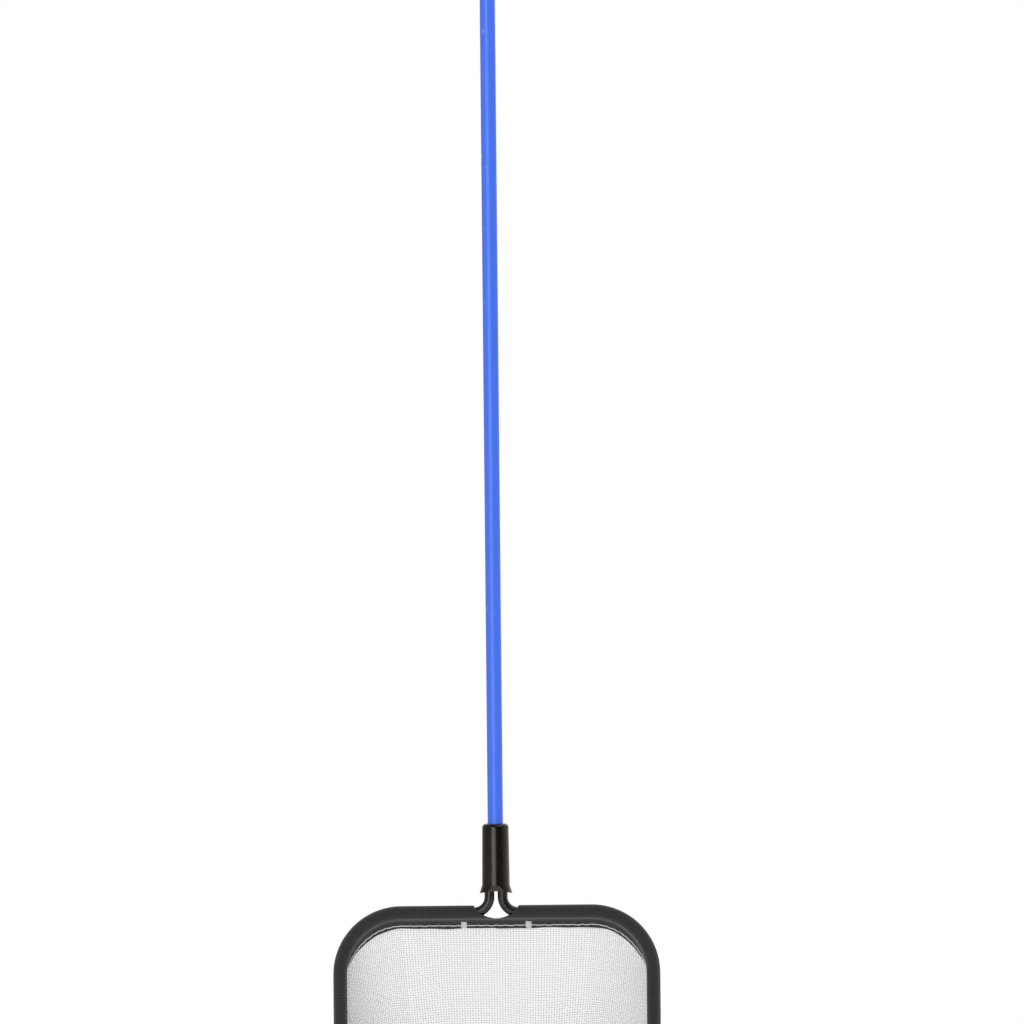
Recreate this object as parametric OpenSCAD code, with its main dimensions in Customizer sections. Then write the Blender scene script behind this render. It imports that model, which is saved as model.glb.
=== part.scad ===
// Aquarium fish net: a sheathed rod handle, a wire hoop and a bag of fine mesh.
// Millimetres. The origin is the centre of the hanging eye, +Z runs up the handle,
// the hoop lies in the XZ plane and the bag hangs behind it, towards +Y.

/* [Handle] */
// Length from the centre of the hanging eye to the top of the ferrule
handle_len = 254; // [120:1:400]
// Outside diameter of the plastic sheath
sheath_d = 4; // [3.2:0.1:4.8]
// Diameter of the steel rod inside the sheath
rod_d = 1.8; // [1.4:0.1:2]

/* [End cap] */
// Outside diameter of the cap's barrel
cap_d = 7; // [6.4:0.1:10]
// Length of the cap, from the centre of the eye to the cap's mouth
cap_len = 22; // [18:0.5:32]
// Diameter of the hanging eye
eye_d = 5; // [3:0.1:6]
// Width of the ring round the eye
eye_rim = 2.2; // [1.5:0.1:3]
// Thickness of the eye's tab
tab_t = 3.5; // [2.4:0.1:5]

/* [Ferrule] */
// Length of the ferrule, down to the ends of its lip
ferrule_len = 18; // [17:0.5:24]
// Diameter at the top of the ferrule
ferrule_top_d = 6.9; // [6.8:0.1:8]
// Diameter at the foot of the barrel, above the flare
ferrule_foot_d = 7.2; // [7.2:0.1:8]
// Width of the flared lip
lip_w = 8.5; // [8:0.1:11]
// Thickness of the lip between its two flats
lip_t = 7; // [6:0.1:8]
// Height of the flare
flare_h = 2.1; // [1:0.1:3]
// Rise of the arch in the lip
lip_arch = 0.7; // [0.2:0.1:1.2]
// Radius of the rounded shoulder at the top
shoulder_r = 1; // [0.4:0.1:1.2]
// Depth of the sheath inside the ferrule
sheath_in = 6; // [4:0.5:7]
// Depth of the hoop's coated legs inside the ferrule
leg_in = 3; // [2:0.5:3.5]
// Length of the crimp band
crimp_len = 6; // [4:0.5:6.5]
// Wall of the crimp band
crimp_t = 0.4; // [0.2:0.05:0.45]

/* [Hoop] */
// Outside width of the hoop with its tape
net_w = 85; // [75:1:120]
// Outside height of the hoop with its tape
net_h = 70; // [60:1:100]
// Diameter of the steel wire
wire_d = 1.4; // [1:0.1:1.4]
// Wall of the plastic coat on the wire
coat_t = 0.6; // [0.4:0.05:0.65]
// Centreline radius of the upper corners
top_r = 16; // [10:1:22]
// Centreline radius of the lower corners
low_r = 12; // [8:1:20]
// Centreline radius of the bends at the neck
neck_r = 4; // [3:0.5:6]
// Straight length of the legs below the ferrule
neck_straight = 1; // [0.5:0.5:4]

/* [Hem] */
// Thickness of the folded tape
tape_t = 0.4; // [0.25:0.05:0.6]
// Width of the hem, from the wire's centre to the tape's edge
hem_w = 4.9; // [4:0.1:7]

/* [Net bag] */
// Length of the back panel, from the wire's centre to the seam at its tip
bag_depth = 74; // [66:1:90]
// Length of the straight sides of each panel's cut
bag_side = 12; // [9:0.5:20]
// Angle between the back panel and the vertical, in degrees
back_angle = 42; // [36:1:50]
// Thickness of the mesh
mesh_t = 0.4; // [0.3:0.05:0.6]
// Width of the bars between the mesh's openings
mesh_bar = 1.4; // [0.8:0.1:2]
// Width of the overlocked seam
seam_w = 3; // [2:0.25:4]
// Thickness of the overlocked seam
seam_t = 1.2; // [0.8:0.1:1.6]

/* [Fit] */
// Clearance between pieces that slide into or lie against each other
fit_gap = 0.1; // [0.06:0.02:0.14]
// Clearance between a skin and the core that it is moulded on
skin_gap = 0.02; // [0.01:0.01:0.04]

/* [Hidden] */
$fn = 64;

// End cap: solid crown above the socket, proud bead at the mouth and rounding of the edges
cap_crown = 2;
cap_bead_h = 1.8;
cap_bead_t = 0.35;
cap_edge = 0.6;

// Overrun of every cut past the face that it goes through
over = 1;
// Step for slopes of the cloth's surface
probe = 0.1;

// Levels along the handle, from the top down
cap_top_z = -(eye_d / 2 + eye_rim) - cap_crown / 2;
cap_floor_z = cap_top_z - cap_crown;
sheath_top_z = cap_floor_z - fit_gap;
rod_top_z = sheath_top_z - rod_d;
ferrule_top_z = -handle_len;
sheath_end_z = ferrule_top_z - sheath_in;
crimp_top_z = sheath_end_z - fit_gap;
crimp_end_z = crimp_top_z - crimp_len;
cavity_end_z = crimp_end_z - fit_gap;
lip_z = ferrule_top_z - ferrule_len;
pocket_z = lip_z + leg_in;
coat_top_z = pocket_z - fit_gap;

// Wire, coat and the two legs beside the rod
wire_r = wire_d / 2;
coat_r = wire_r + coat_t;
leg_x = max((rod_d + wire_d) / 2, coat_r) + fit_gap;
crimp_in_w = 2 * (leg_x + wire_r + skin_gap);
crimp_in_t = max(rod_d, wire_d) + 2 * skin_gap;

// Tape round the coat, and the flap that holds the mesh between its two layers
tape_in_r = coat_r + fit_gap;
tape_out_r = tape_in_r + tape_t;
flap_in = mesh_t / 2 + 2 * fit_gap;
flap_out = flap_in + tape_t;
mesh_start = coat_r + 3 * fit_gap;
hem_rows = [mesh_start, (mesh_start + hem_w) / 2, hem_w];
rim_in = seam_t / 2 + 2 * fit_gap;
seam_end = 2 - (hem_w + fit_gap + seam_t / 4) / bag_side;

// Points of the hoop's right half in [x, z], and the lengths along it from the top
hoop_a = net_w / 2 - tape_out_r;
bend_z = lip_z - neck_straight;
bend_c = [leg_x + neck_r, bend_z];
top_z = bend_z - neck_r;
low_z = top_z - net_h + 2 * tape_out_r;
top_c = [hoop_a - top_r, top_z - top_r];
low_c = [hoop_a - low_r, low_z + low_r];
len_top = top_c.x + top_r * PI / 2;
len_side = len_top + top_c.y - low_c.y;
len_low = len_side + low_r * PI / 2;
len_half = len_low + low_c.x;
panel_half = len_half / 2;

// The notch at the neck, where the tape's fold is cut away to let the wire out
notch_r = norm([bend_c.x, lip_z - top_z - tape_in_r]);

// Hang of the bag. The powers and shares only shape the curves.
cut_power = 2.2;
taper_power = 1.55;
side_share = 0.93;
back_sag_share = 0.07;
out_share = 0.5;
rear_share = 0.15;
mid_z = top_c.y - (panel_half - len_top);
tip_y = bag_depth * sin(back_angle);
tip_z = top_z - bag_depth * cos(back_angle);
side_y = bag_side * side_share;
front_chord = norm([tip_y, tip_z - low_z]);
back_sag = bag_depth * back_sag_share;
front_sag = front_chord * sqrt(3 / 8 * max(0, bag_depth / front_chord - 1));

// Counts of steps round an edge or fold, along the hoop, round and along the seam, and round the
// arch in the ferrule's lip
edge_steps = 5;
fold_steps = 10;
corner_steps = 12;
flat_steps = 4;
side_steps = 6;
core_steps = 8;
seam_steps = 3;
arch_steps = 180;

// Openings of the mesh: their counts across and down a panel, the share of its width that they
// take, and the steps across an opening off the straight bar and from the grid to the seam
across_count = 12;
down_count = 6;
across_share = 0.97;
open_steps = 3;
border_steps = 3;
mesh_margin = rim_in + mesh_bar;
mesh_half = across_share * (panel_half - mesh_margin);
mesh_pitch = (2 * mesh_half + mesh_bar) / across_count;

// Half outline of the seam's section, in shares of its half thickness: from the front of the
// round core to its widest point, and round the panels' edges at the rear
core_shares = [[-0.9, 0.4], [-0.5, 0.87], [0, 1]];
edge_shares = [[-0.6, 0.9], [0, 0.4]];

function unit(v) = v / norm(v);

// Point [x, z] of the hoop's right half at a length from the top middle
function hoop_right(l) =
    l < top_c.x ? [l, top_z]
    : l < len_top ? let(turn = 90 - (l - top_c.x) / top_r * 180 / PI)
        top_c + top_r * [cos(turn), sin(turn)]
    : l < len_side ? [hoop_a, top_c.y - (l - len_top)]
    : l < len_low ? let(turn = -(l - len_side) / low_r * 180 / PI)
        low_c + low_r * [cos(turn), sin(turn)]
    : [low_c.x - (l - len_low), low_z];

// Mouth of a panel: p runs from side to side, side is 1 for the back panel, -1 for the front one
function mouth(p, side) =
    let(at = hoop_right(side > 0 ? abs(p) : len_half - abs(p))) [sign(p) * at.x, 0, at.y];

// Round outline of the panels' cut: 1 at the middle, 0 at the sides
function cut_round(s) = pow(max(0, 1 - pow(abs(s), cut_power)), 1 / cut_power);
function cut_len(p, inset = 0) =
    bag_side - inset + (bag_depth - bag_side) * cut_round(p / (panel_half - inset));

// The seam as it hangs
function seam_point(s) =
    let(y = side_y + (tip_y - side_y) * cut_round(s))
    [sign(s) * hoop_a * (1 - pow(max(0, 1 - abs(s)), taper_power)), y,
        mid_z + (tip_z - mid_z) * (y - hem_w) / (tip_y - hem_w)];

// The cloth as it hangs, at p across and q down from the wire. The hem leaves the wire square
// and straight. From its edge the cloth runs to the seam and sags as a parabola, evened out so
// that q starts as the true distance.
function cloth(p, q, side) =
    let(s = p / panel_half, from = mouth(p, side), to = seam_point(s),
        run = unit(mouth(p + probe, side) - mouth(p - probe, side)),
        sag = side > 0 ? back_sag * pow(1 - min(1, s * s), 2) : front_sag * (1 - pow(min(1, abs(s)), 3)),
        hang = 4 * sag * unit([sign(s) * s * s * out_share, rear_share, -1]),
        pull = to - from + hang,
        square = unit(pull - (pull * run) * run))
    q < hem_w ? from + q * square
    : let(edge = from + hem_w * square, len = cut_len(p) - hem_w, t0 = (q - hem_w) / len,
        even = 1 - len / norm(to - edge + hang), t = t0 - even * sin(360 * t0) / (2 * PI))
        edge + (to - edge) * t + hang * t * (1 - t);

// Directions on the cloth: along the hoop, clockwise from the front, and out of the bag
function along(p, q, side) =
    unit(side * (cloth(p + probe, q, side) - cloth(p - probe, q, side)));
function outward(p, q, side) =
    unit(cross(along(p, q, side), cloth(p, q + probe, side) - cloth(p, q - probe, side)));

// Places of the tape's stations, as lengths from the panel's middle
function steps(a, b, n) = [for (k = [1:n]) a + (b - a) * k / n];
function right_columns(flat, bend) =
    let(start = flat + bend, end = panel_half)
    concat([0], steps(0, flat, flat_steps), steps(flat, start, corner_steps),
        [for (k = [1:side_steps]) let(left = 1 - k / side_steps) end - (end - start) * left * left]);
back_right = right_columns(top_c.x, len_top - top_c.x);
front_right = right_columns(low_c.x, len_low - len_side);
function both_ways(right) =
    concat([for (k = [len(right) - 1:-1:1]) -right[k]], right);
back_columns = both_ways(back_right);
front_columns = both_ways(front_right);

// Places of a mesh's columns in its right half: both edges of each opening, with more between
// them where the hoop isn't straight, and then up to the seam
function mesh_right(flat) = concat(
    [for (k = [0:across_count / 2 - 1])
        let(a = mesh_bar / 2 + k * mesh_pitch, b = a + mesh_pitch - mesh_bar)
        each concat([a], steps(a, b, b > flat ? open_steps : 1))],
    [for (k = [border_steps - 1:-1:0])
        panel_half - (panel_half - mesh_half) * pow(k / border_steps, 2)]);

// Places of its rows at p: below the hem, at both edges of each opening and at the seam. Past
// the outermost openings they draw together.
function mesh_rows(p) =
    let(near = min(abs(p), mesh_half), span = cut_len(near, mesh_margin) - hem_w - mesh_bar,
        bar = min(mesh_bar, span / (2 * down_count)), pitch = (span + bar) / down_count,
        draw = (cut_len(p) - hem_w) / (cut_len(near) - hem_w))
    concat([hem_w + draw * mesh_bar / 2],
        [for (k = [0:down_count - 1], low = [0, 1])
            hem_w + draw * (mesh_bar + (k + low) * pitch - low * bar)],
        [cut_len(p)]);

// Points of a sheet of mesh at p: down its face by rows and back up its other face
function mesh_ring(p, rows, side) =
    let(at = [for (q = rows) cloth(p, q, side)],
        lift = [for (q = rows) mesh_t / 2 * side * outward(p, q, side)])
    concat(at + lift, [for (k = [len(rows) - 1:-1:0]) at[k] - lift[k]]);

// Closed skin over rings of points. Each ring goes out and comes back, so its two halves
// also close the ends. A loop has no ends.
module skin(rings, is_loop = false) {
    n = len(rings[0]);
    m = len(rings);
    half = n / 2;
    sides = [for (i = [0:m - (is_loop ? 1 : 2)], j = [0:n - 1])
        let(a = i * n + j, b = i * n + (j + 1) % n,
            c = ((i + 1) % m) * n + (j + 1) % n, d = ((i + 1) % m) * n + j)
        each [[a, b, c], [a, c, d]]];
    ends = is_loop ? [] : [for (i = [0, m - 1], j = [0:half - 2])
        let(a = i * n + j, b = a + 1, c = i * n + n - 2 - j, d = c + 1)
        each (i == 0 ? [[a, c, b], [a, d, c]] : [[a, b, c], [a, c, d]])];
    polyhedron(points = [for (ring = rings) each ring], faces = concat(sides, ends));
}

function quad(a, b, c, d) = [[a, b, c], [a, c, d]];
function none(n) = [for (k = [1:n]) false];

// Faces of a sheet of cells between the two halves of its rings, whose points start at a number.
// A cell is open where a wide step across meets a deep step down. Walls close the openings and
// the rim, except beside the row where the sheet goes on.
function sheet_faces(start, wide, deep, goes_on) =
    let(n = 2 * len(deep) + 2,
        is_open = function(i, k) k != goes_on
            && (i < 0 || k < 0 || i == len(wide) || k == len(deep) || (wide[i] && deep[k])))
    [for (i = [0:len(wide) - 1], k = [0:len(deep) - 1]) if (!is_open(i, k))
        let(loop = [[i, k], [i, k + 1], [i + 1, k + 1], [i + 1, k]],
            beyond = [[i - 1, k], [i, k + 1], [i + 1, k], [i, k - 1]],
            a = [for (at = loop) start + at[0] * n + at[1]],
            b = [for (at = loop) start + (at[0] + 1) * n - 1 - at[1]])
        each concat(quad(a[0], a[1], a[2], a[3]), quad(b[3], b[2], b[1], b[0]),
            [for (e = [0:3]) let(f = (e + 1) % 4) if (is_open(beyond[e][0], beyond[e][1]))
                each quad(a[f], a[e], b[e], b[f])])];

// Triangles that join two rows of points at places p and q. Each corner is [number, -1] in the
// first row or [-1, number] in the second.
function zip(p, q, i = 0, j = 0) =
    i == len(p) - 1 && j == len(q) - 1 ? []
    : j == len(q) - 1 || (i < len(p) - 1 && p[i + 1] < q[j + 1])
        ? concat([[[i, -1], [-1, j], [i + 1, -1]]], zip(p, q, i + 1, j))
        : concat([[[i, -1], [-1, j], [-1, j + 1]]], zip(p, q, i, j + 1));

// Bar with half-round edges, standing on the XY plane
module rounded_bar(w, t, h) {
    translate([-(w - t) / 2, -t / 2, 0]) cube([w - t, t, h]);
    for (sx = [-1, 1]) translate([sx * (w - t) / 2, 0, 0]) cylinder(d = t, h = h);
}

module straight_tube(a, b, r) {
    d = b - a;
    translate([a.x, 0, a.y]) rotate([0, atan2(d.x, d.y), 0]) cylinder(r = r, h = norm(d));
}

// Quarter bend from an angle in the hoop's plane
module bent_tube(c, bend_r, from, r) {
    translate([c.x, 0, c.y]) rotate([90, 0, 0]) rotate([0, 0, from])
        rotate_extrude(angle = 90) translate([bend_r, 0]) circle(r = r);
}

// The hoop's path with its two legs up to end_z, as a solid round bar
module hoop_bar(r, end_z) {
    for (turn = [0, 1]) mirror([turn, 0, 0]) {
        straight_tube([leg_x, bend_z], [leg_x, end_z], r);
        bent_tube(bend_c, neck_r, 180, r);
        straight_tube([bend_c.x, top_z], [top_c.x, top_z], r);
        bent_tube(top_c, top_r, 0, r);
        straight_tube([hoop_a, low_c.y], [hoop_a, top_c.y], r);
        bent_tube(low_c, low_r, 270, r);
    }
    straight_tube([-low_c.x, low_z], [low_c.x, low_z], r);
}

// Half section of a round solid in [r, z] from z0 up to z1, with both rims rounded to an edge
function barrel_profile(r, z0, z1, edge) =
    let(arc = [for (k = [0:edge_steps]) 90 * k / edge_steps])
    concat([[0, z0]], [for (a = arc) [r - edge + edge * sin(a), z0 + edge - edge * cos(a)]],
        [for (a = arc) [r - edge + edge * cos(a), z1 - edge + edge * sin(a)]], [[0, z1]]);

// Moulded cap on the free end: a barrel with a bead at its mouth, a neck and the hanging eye
module end_cap() {
    barrel_r = cap_d / 2 - cap_bead_t;
    eye_out = eye_d / 2 + eye_rim;
    color("#26211f") difference() {
        union() {
            rotate_extrude()
                polygon(barrel_profile(cap_d / 2, -cap_len, -cap_len + cap_bead_h, cap_bead_t));
            rotate_extrude()
                polygon(barrel_profile(barrel_r, -cap_len + cap_edge, cap_top_z, cap_edge));
            translate([0, 0, cap_top_z - cap_edge])
                rounded_bar(2 * barrel_r - cap_edge, tab_t, cap_edge - cap_top_z);
            rotate([90, 0, 0]) rotate_extrude()
                polygon(barrel_profile(eye_out, -tab_t / 2, tab_t / 2, cap_edge));
        }
        translate([0, 0, -cap_len - over])
            cylinder(d = sheath_d + 2 * fit_gap, h = cap_len + over + cap_floor_z);
        rotate([90, 0, 0]) translate([0, 0, -tab_t / 2 - over])
            cylinder(d = eye_d, h = tab_t + 2 * over);
    }
}

// Steel rod, from inside the cap down through the crimp band
module handle_rod() {
    color("#b9bcbe") translate([0, 0, crimp_end_z])
        cylinder(d = rod_d, h = rod_top_z - crimp_end_z);
}

// Plastic sheath over the whole rod
module handle_sheath() {
    color("#4f6fec") translate([0, 0, sheath_end_z]) difference() {
        cylinder(d = sheath_d, h = sheath_top_z - sheath_end_z);
        translate([0, 0, -over])
            cylinder(d = rod_d + 2 * skin_gap, h = sheath_top_z - sheath_end_z + 2 * over);
    }
}

// Moulded ferrule: round shoulder, slightly tapered barrel and a flared lip with two flats
module ferrule() {
    head_r = ferrule_top_d / 2;
    foot_r = ferrule_foot_d / 2;
    flare_z = lip_z + flare_h;
    arch_r = (lip_w * lip_w / 4 + lip_arch * lip_arch) / (2 * lip_arch);
    color("#2b2122") difference() {
        rotate_extrude() {
            polygon([[0, lip_z], [lip_w / 2, lip_z], [foot_r, flare_z],
                [head_r, ferrule_top_z - shoulder_r], [0, ferrule_top_z - shoulder_r]]);
            translate([0, ferrule_top_z - shoulder_r])
                square([head_r - shoulder_r, shoulder_r]);
            translate([head_r - shoulder_r, ferrule_top_z - shoulder_r]) intersection() {
                circle(r = shoulder_r);
                square(shoulder_r);
            }
        }
        for (turn = [0, 180]) rotate([0, 0, turn])
            translate([-lip_w, lip_t / 2, lip_z - over]) cube([2 * lip_w, lip_w, flare_h + over]);
        translate([0, lip_w, lip_z + lip_arch - arch_r]) rotate([90, 0, 0])
            cylinder(r = arch_r, h = 2 * lip_w, $fn = arch_steps);
        translate([0, 0, sheath_end_z])
            cylinder(d = sheath_d + 2 * fit_gap, h = sheath_in + over);
        translate([0, 0, cavity_end_z])
            rounded_bar(crimp_in_w + 2 * (crimp_t + fit_gap), crimp_in_t + 2 * (crimp_t + fit_gap),
                sheath_end_z - cavity_end_z);
        for (sx = [-1, 1]) translate([sx * leg_x, 0, lip_z])
            cylinder(d = wire_d + 2 * skin_gap, h = sheath_end_z - lip_z);
        translate([0, 0, lip_z - over])
            rounded_bar(2 * (leg_x + coat_r + fit_gap), 2 * (coat_r + fit_gap), leg_in + over);
    }
}

// Band squeezed round the rod and the two legs of the hoop
module crimp_band() {
    color("#a8a39a") translate([0, 0, crimp_end_z]) difference() {
        rounded_bar(crimp_in_w + 2 * crimp_t, crimp_in_t + 2 * crimp_t, crimp_len);
        translate([0, 0, -over]) rounded_bar(crimp_in_w, crimp_in_t, crimp_len + 2 * over);
    }
}

// Steel wire of the hoop
module hoop_wire() {
    color("#b9bcbe") hoop_bar(wire_r, crimp_top_z);
}

// Plastic coat on the hoop's wire
module hoop_coating() {
    color("#1d1c1d") difference() {
        hoop_bar(coat_r, coat_top_z);
        hoop_bar(wire_r + skin_gap, coat_top_z + over);
    }
}

// Section of the tape at one station: out round the fold, back inside it
function tape_ring(p, side) =
    let(m = mouth(p, side), run = along(p, mesh_start, side),
        down = unit(cloth(p, mesh_start, side) - m), n = unit(cross(run, down)),
        out_b = asin(flap_out / tape_out_r), in_b = asin(flap_in / tape_in_r),
        out_step = (360 - 2 * out_b) / fold_steps, in_step = (360 - 2 * in_b) / fold_steps,
        in_r = tape_in_r / cos(in_step / 2),
        rows = [hem_rows[2], hem_rows[1]], up = [hem_rows[1], hem_rows[2]])
    concat(
        [for (q = rows) cloth(p, q, side) - flap_out * outward(p, q, side)],
        [for (k = [0:fold_steps]) let(turn = out_b + k * out_step)
            m + tape_out_r * (cos(turn) * down - sin(turn) * n)],
        [for (q = up) cloth(p, q, side) + flap_out * outward(p, q, side)],
        [for (q = rows) cloth(p, q, side) + flap_in * outward(p, q, side)],
        [for (k = [fold_steps:-1:0]) let(turn = in_b + k * in_step)
            m + in_r * (cos(turn) * down - sin(turn) * n)],
        [for (q = up) cloth(p, q, side) - flap_in * outward(p, q, side)]);

// Woven tape folded round the hoop, with its fold notched at the neck
module hem_tape() {
    stations = concat([for (p = back_columns) [p, 1]],
        [for (k = [len(front_columns) - 2:-1:1]) [front_columns[k], -1]]);
    color("#161616") difference() {
        skin([for (at = stations) tape_ring(at[0], at[1])], is_loop = true);
        translate([0, tape_out_r + hem_w, lip_z]) rotate([90, 0, 0])
            cylinder(r = notch_r, h = 2 * (tape_out_r + hem_w));
    }
}

// The seam line. u runs from 2 at the right of the hoop, past 1 where the straight side of
// the cut ends, through 0 at the tip to -2 at the left. inset steps into a panel.
function seam_line(u, inset = 0, side = 1) =
    let(s = max(-1, min(1, u)))
    cloth(s * (panel_half - inset), abs(u) > 1 ? bag_side * (2 - abs(u))
        : bag_side + (bag_depth - inset - bag_side) * cut_round(s), side);

// Point at v of a seam's section, in [out of the bag, from the front panel to the back one]
function seam_at(u, v) =
    let(at = seam_line(u), run = unit(seam_line(u - probe / bag_depth) - at),
        apart = unit(seam_line(u, rim_in, 1) - at) - unit(seam_line(u, rim_in, -1) - at),
        rear = unit(cross(run, apart)))
    at + v[0] * rear + v[1] * cross(rear, run);

// Places along the seam from left to right, with more of them towards the wire
function seam_places(more = []) =
    let(right = concat([for (p = back_right) p / panel_half], steps(1, seam_end, seam_steps), more))
    [for (k = [1 - len(right):len(right) - 1]) sign(k) * right[abs(k)]];

// One panel of mesh with a plain grid of openings, from inside the hem to the seam's round core.
// Its strip in the hem has the tape's stations, and its net has columns at the openings.
module panel(stations, right, side) {
    columns = concat([for (k = [len(right) - 1:-1:0]) -right[k]], right);
    wide = [for (k = [1:len(columns) - 1]) let(middle = abs(columns[k - 1] + columns[k]) / 2)
        middle < mesh_half && (middle + mesh_bar / 2) % mesh_pitch > mesh_bar];
    deep = [for (k = [0:2 * down_count]) k % 2 == 1];
    strip = [for (p = stations) each mesh_ring(p, hem_rows, side)];
    net = [for (p = columns) each mesh_ring(p, mesh_rows(p), side)];
    start = len(strip);
    m = 2 * len(hem_rows);
    n = len(net) / len(columns);
    join = zip(stations, columns);
    upper = function(at) at[1] < 0 ? m * at[0] + m / 2 - 1 : start + n * at[1];
    lower = function(at) at[1] < 0 ? m * at[0] + m / 2 : start + n * at[1] + n - 1;
    ends = [[[0, -1], [-1, 0]], [[-1, len(columns) - 1], [len(stations) - 1, -1]]];
    difference() {
        polyhedron(points = concat(strip, net), faces = concat(
            sheet_faces(0, none(len(stations) - 1), none(len(hem_rows) - 1), len(hem_rows) - 1),
            sheet_faces(start, wide, deep, -1),
            [for (face = join) [for (at = face) upper(at)]],
            [for (face = join) [for (k = [2:-1:0]) lower(face[k])]],
            [for (e = ends) each quad(upper(e[1]), upper(e[0]), lower(e[0]), lower(e[1]))]));
        skin([for (u = seam_places([2 - hem_w / bag_side, 2]))
            [for (k = [0:core_steps - 1]) let(turn = 360 * (k + 1 / 2) / core_steps)
                seam_at(u, rim_in * [cos(turn), -sin(turn)])]]);
    }
}

module net_back_panel() {
    color("#e9ebea") panel(back_columns, mesh_right(top_c.x), 1);
}

module net_front_panel() {
    color("#dfe3e4") panel(front_columns, mesh_right(low_c.x), -1);
}

// Overlocked seam: a round core where the panels meet, with their edges laid together behind it
module bag_seam() {
    r = seam_t / 2;
    half = concat([for (v = core_shares) r * v], [for (v = edge_shares) [seam_w, 0] + r * v]);
    section = concat(half, [for (k = [len(half) - 1:-1:0]) [half[k].x, -half[k].y]]);
    color("#f2f2f0") skin([for (u = seam_places()) [for (v = section) seam_at(u, v)]]);
}

end_cap();
handle_rod();
handle_sheath();
ferrule();
crimp_band();
hoop_wire();
hoop_coating();
hem_tape();
net_back_panel();
net_front_panel();
bag_seam();
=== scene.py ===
"""Looks of the aquarium fish net: finishes for its plastic, steel and coated wire, and its sewn
pieces in full, which are the folded hem tape, the two panels of fine mesh, the overlocked seam and
the stitches. Shapes are worked out in millimetres and put into the meshes in metres."""

import math

import bmesh
import bpy
import numpy as np
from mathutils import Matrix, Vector


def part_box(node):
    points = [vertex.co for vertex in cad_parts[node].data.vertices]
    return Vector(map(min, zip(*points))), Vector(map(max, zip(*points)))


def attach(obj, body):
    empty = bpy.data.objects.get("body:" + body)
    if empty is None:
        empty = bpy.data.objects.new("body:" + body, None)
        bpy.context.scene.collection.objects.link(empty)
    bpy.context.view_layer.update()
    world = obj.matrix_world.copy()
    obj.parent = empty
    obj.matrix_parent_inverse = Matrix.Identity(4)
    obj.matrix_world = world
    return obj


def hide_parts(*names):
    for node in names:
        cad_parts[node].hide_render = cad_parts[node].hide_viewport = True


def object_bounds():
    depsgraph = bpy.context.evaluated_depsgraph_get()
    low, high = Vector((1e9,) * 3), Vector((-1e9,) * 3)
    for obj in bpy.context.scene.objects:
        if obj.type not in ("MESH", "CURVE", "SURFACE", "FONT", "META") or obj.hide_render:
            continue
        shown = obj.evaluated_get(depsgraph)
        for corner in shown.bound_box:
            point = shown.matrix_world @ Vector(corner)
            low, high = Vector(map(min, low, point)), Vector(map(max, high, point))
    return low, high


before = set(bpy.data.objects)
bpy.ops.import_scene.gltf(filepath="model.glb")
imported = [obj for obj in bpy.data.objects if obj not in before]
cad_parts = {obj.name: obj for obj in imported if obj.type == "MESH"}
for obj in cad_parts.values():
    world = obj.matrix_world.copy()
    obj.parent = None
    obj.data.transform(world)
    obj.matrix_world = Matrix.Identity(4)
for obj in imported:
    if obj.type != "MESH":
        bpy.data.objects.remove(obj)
cad_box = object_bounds()

# One millimetre, in metres
MM = 0.001

# Hoop: outside width and height with its tape, radius of the coated wire, radius of the upper and
# lower corners at the wire's centre, and the neck, where each leg runs straight and then bends
net_w = 85
net_h = 70
coat_r = 1.3
top_r = 16
low_r = 12
neck_r = 4
neck_straight = 1
leg_x = 1.7

# Hem tape: thickness, gap to the wire, reach below the wire's centre, and how far the middle of
# each flap lies from the mesh
tape_t = 0.4
tape_gap = 0.1
hem_w = 4.9
flap_y = 0.6

# Bag: depth of its cut in the middle and at the sides, how far from straight down it hangs, the
# powers of the cut's round outline and of the seam's taper, and shares for how it sags
bag_depth = 74
bag_side = 12
back_angle = math.radians(42)
cut_power = 2.2
taper_power = 1.55
side_share = 0.93
back_sag_share = 0.07
out_share = 0.5
rear_share = 0.15

# The hoop's centreline, from the ferrule's lip down
lip_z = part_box("ferrule")[0].z / MM
tape_out_r = coat_r + tape_gap + tape_t
hoop_a = net_w / 2 - tape_out_r
bend_x = leg_x + neck_r
top_z = lip_z - neck_straight - neck_r
low_z = top_z - net_h + 2 * tape_out_r
top_x = hoop_a - top_r
top_mid_z = top_z - top_r
low_x = hoop_a - low_r
low_mid_z = low_z + low_r

# Lengths along it from the top middle, to the end of each stretch
len_top = top_x + top_r * math.pi / 2
len_side = len_top + top_mid_z - low_mid_z
len_low = len_side + low_r * math.pi / 2
len_half = len_low + low_x
hoop_len = 2 * len_half
panel_half = len_half / 2

# Where the bag hangs to. A shallow parabola is longer than its chord by 8/3 of its sag squared over
# the chord, and front_sag is the sag that uses up the front panel's whole depth
mid_z = top_mid_z - (panel_half - len_top)
tip_y = bag_depth * math.sin(back_angle)
tip_z = top_z - bag_depth * math.cos(back_angle)
side_y = bag_side * side_share
front_chord = math.hypot(tip_y, tip_z - low_z)
back_sag = bag_depth * back_sag_share
front_sag = front_chord * math.sqrt(3 / 8 * (bag_depth / front_chord - 1))


# Shapes and meshes

# Shortest length that a vector is divided by
least = 1e-9

# Slivers of a cut that are shorter than this, in metres, are closed up
sliver = 0.000004

# Edges sharper than this stay sharp
sharp_angle = math.radians(40)


def unit(v):
    """Vectors divided by their own lengths."""
    return v / np.maximum(np.linalg.norm(v, axis=-1, keepdims=True), least)


def stack(*parts):
    """Points from their separate coordinates."""
    return np.stack(np.broadcast_arrays(*parts), axis=-1)


def between(length, stations, rows):
    """Vectors at lengths between stations: each coordinate runs straight from one to the next."""
    return stack(*(np.interp(length, stations, rows[:, k]) for k in range(3)))


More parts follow.
